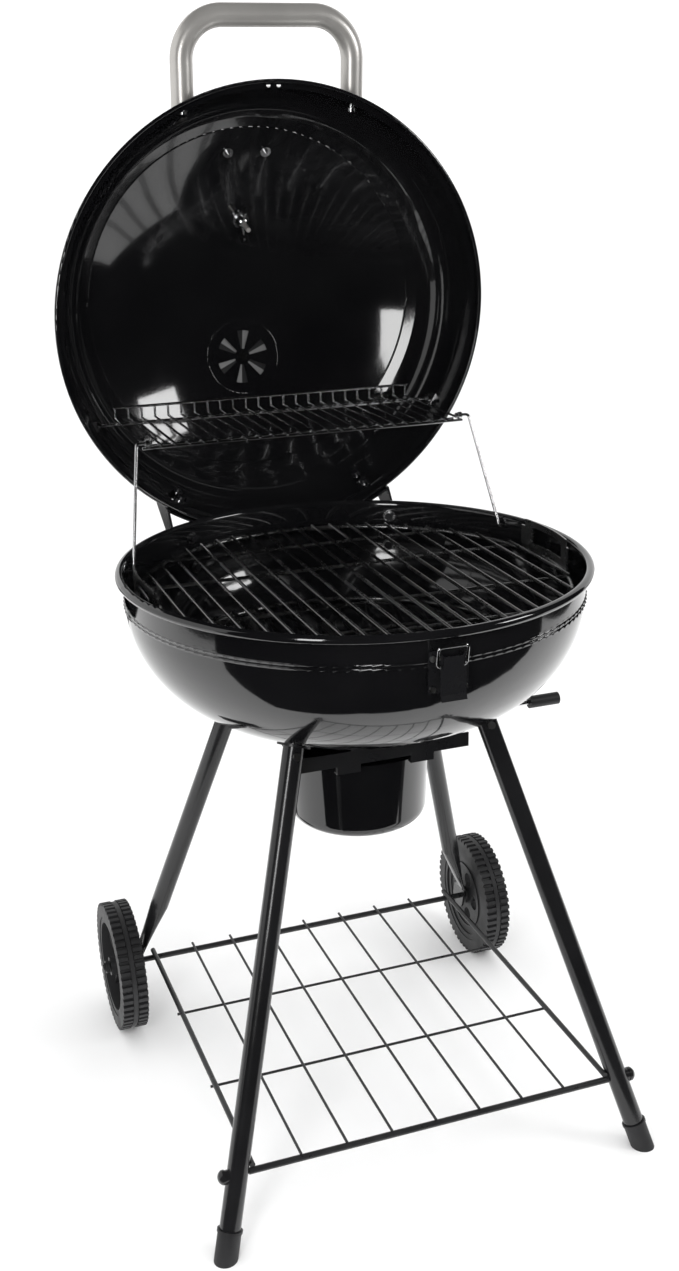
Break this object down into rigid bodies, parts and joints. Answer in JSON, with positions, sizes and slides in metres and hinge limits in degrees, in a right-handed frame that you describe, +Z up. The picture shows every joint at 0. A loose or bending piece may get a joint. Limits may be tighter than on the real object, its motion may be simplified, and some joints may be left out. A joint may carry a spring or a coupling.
{
  "type": "kettle charcoal grill",
  "caption": "Round covered charcoal grill on four splayed legs with two wheels: hinged lid with a linked warming rack, wire grates, bottom shelf, ash bucket and sweeper.",
  "frame": {"origin": "on the floor, under the middle of the whole object with its lid open", "axes": "+Z up; the latch and handle side faces -Y; the hinge and the wheels are at +Y; +X is the side of the sweeper lever"},
  "size_m": [0.606, 0.7559, 1.3561],
  "materials": {
    "enamel": "gloss",
    "steel_plate": "semi-gloss",
    "bright_fasteners": "zinc plated",
    "foot_plastic": "matte",
    "zinc_rod": "zinc plated",
    "shelf_wire": "satin",
    "chrome_wire": "plated wire",
    "latch_metal": "satin",
    "dial_face": "matte",
    "needle_red": "satin",
    "glass": "clear",
    "badge_metal": "satin",
    "handle_steel": "brushed along the tube",
    "wheel_plastic": "matte",
    "tyre_plastic": "matte",
    "bucket_paint": "gloss"
  },
  "bodies": {
    "base": {"bowl": "enamel", "leg_front_left": "enamel", "leg_front_right": "enamel", "leg_rear_left": "enamel", "leg_rear_right": "enamel", "leg_sockets": "steel_plate", "leg_screws": "bright_fasteners", "foot_caps": "foot_plastic", "axle": "zinc_rod", "axle_caps": "bright_fasteners", "bottom_shelf": "shelf_wire", "shelf_bolts": "bright_fasteners", "bucket_rails": "steel_plate", "charcoal_grate": "chrome_wire", "grate_supports": "steel_plate", "hinge_bowl_leaf": "steel_plate", "hinge_bowl_bolts": "steel_plate", "hinge_bowl_washers": "bright_fasteners", "hinge_pins": "bright_fasteners", "latch_base": "latch_metal", "latch_rivets": "bright_fasteners", "latch_pin": "bright_fasteners"},
    "lid_assembly": {"lid": "enamel", "hinge_lid_leaf": "steel_plate", "hinge_lid_bolts": "steel_plate", "hinge_lid_washers": "bright_fasteners", "vent_rivet": "bright_fasteners", "gauge_case": "latch_metal", "gauge_dial": "dial_face", "gauge_glass": "glass", "gauge_wing_nut": "bright_fasteners", "badge_plate": "badge_metal", "badge_screws": "bright_fasteners", "handle": "handle_steel", "handle_saddles": "handle_steel", "handle_screws": "bright_fasteners", "latch_keeper": "latch_metal", "rack_clips": "chrome_wire"},
    "damper": {"vent_disc": "latch_metal"},
    "pointer": {"gauge_needle": "needle_red"},
    "rack": {"warming_rack": "chrome_wire", "rack_lip": "chrome_wire"},
    "strut_left": {"rack_strut_left": "chrome_wire"},
    "strut_right": {"rack_strut_right": "chrome_wire"},
    "lever": {"latch_lever": "latch_metal"},
    "bail": {"latch_bail": "chrome_wire"},
    "wheel_left_body": {"wheel_left": "wheel_plastic", "tyre_left": "tyre_plastic"},
    "wheel_right_body": {"wheel_right": "wheel_plastic", "tyre_right": "tyre_plastic"},
    "sweeper": {"ash_sweeper": "zinc_rod", "sweeper_lever": "zinc_rod", "sweeper_grip": "foot_plastic"},
    "bucket": {"ash_bucket": "bucket_paint"},
    "top_grate": {"cooking_grate": "chrome_wire", "grate_handles": "chrome_wire"}
  },
  "joints": [
    {"name": "lid_hinge", "type": "hinge", "parent": "base", "child": "lid_assembly", "pos_m": [0, 0.19473, 0.7], "axis": [-1, 0, 0], "range_deg": [-86, 0]},
    {"name": "rack_pivot", "type": "hinge", "parent": "lid_assembly", "child": "rack", "pos_m": [0, 0.24473, 0.843], "axis": [-1, 0, 0], "range_deg": [0, 86]},
    {"name": "strut_left_pivot", "type": "hinge", "parent": "base", "child": "strut_left", "pos_m": [-0.253, 0.02573, 0.708], "axis": [-1, 0, 0], "range_deg": [-86, 0]},
    {"name": "strut_right_pivot", "type": "hinge", "parent": "base", "child": "strut_right", "pos_m": [0.253, 0.02573, 0.708], "axis": [-1, 0, 0], "range_deg": [-86, 0]},
    {"name": "damper_turn", "type": "hinge", "parent": "lid_assembly", "child": "damper", "pos_m": [0, 0.36611, 0.90145], "axis": [0, 0.9911, -0.1333], "range_deg": [-30, 0]},
    {"name": "pointer_turn", "type": "hinge", "parent": "lid_assembly", "child": "pointer", "pos_m": [0, 0.34942, 1.09174], "axis": [0, 0.9528, 0.3037], "range_deg": [-130, 130]},
    {"name": "lever_hinge", "type": "hinge", "parent": "base", "child": "lever", "pos_m": [0, -0.36927, 0.694], "axis": [-1, 0, 0], "range_deg": [0, 120]},
    {"name": "bail_pivot", "type": "hinge", "parent": "lever", "child": "bail", "pos_m": [0, -0.36927, 0.685], "axis": [1, 0, 0], "range_deg": [0, 120]},
    {"name": "wheel_left_spin", "type": "hinge", "parent": "base", "child": "wheel_left_body", "pos_m": [-0.275, 0.14973, 0.09], "axis": [1, 0, 0], "continuous": true},
    {"name": "wheel_right_spin", "type": "hinge", "parent": "base", "child": "wheel_right_body", "pos_m": [0.275, 0.14973, 0.09], "axis": [1, 0, 0], "continuous": true},
    {"name": "sweeper_turn", "type": "hinge", "parent": "base", "child": "sweeper", "pos_m": [0, -0.08227, 0.5], "axis": [0, 0, 1], "range_deg": [-30, 30]},
    {"name": "bucket_slide", "type": "slide", "parent": "base", "child": "bucket", "axis": [1, 0, 0], "range_m": [0, 0.14]},
    {"name": "grate_lift", "type": "slide", "parent": "base", "child": "top_grate", "axis": [0, 0, 1], "range_m": [0, 0.02]}
  ],
  "couplings": [
    {"joint": "rack_pivot", "follows": "lid_hinge", "ratio": -1},
    {"joint": "strut_left_pivot", "follows": "lid_hinge", "ratio": 1},
    {"joint": "strut_right_pivot", "follows": "lid_hinge", "ratio": 1},
    {"joint": "bail_pivot", "follows": "lever_hinge", "ratio": 1}
  ]
}
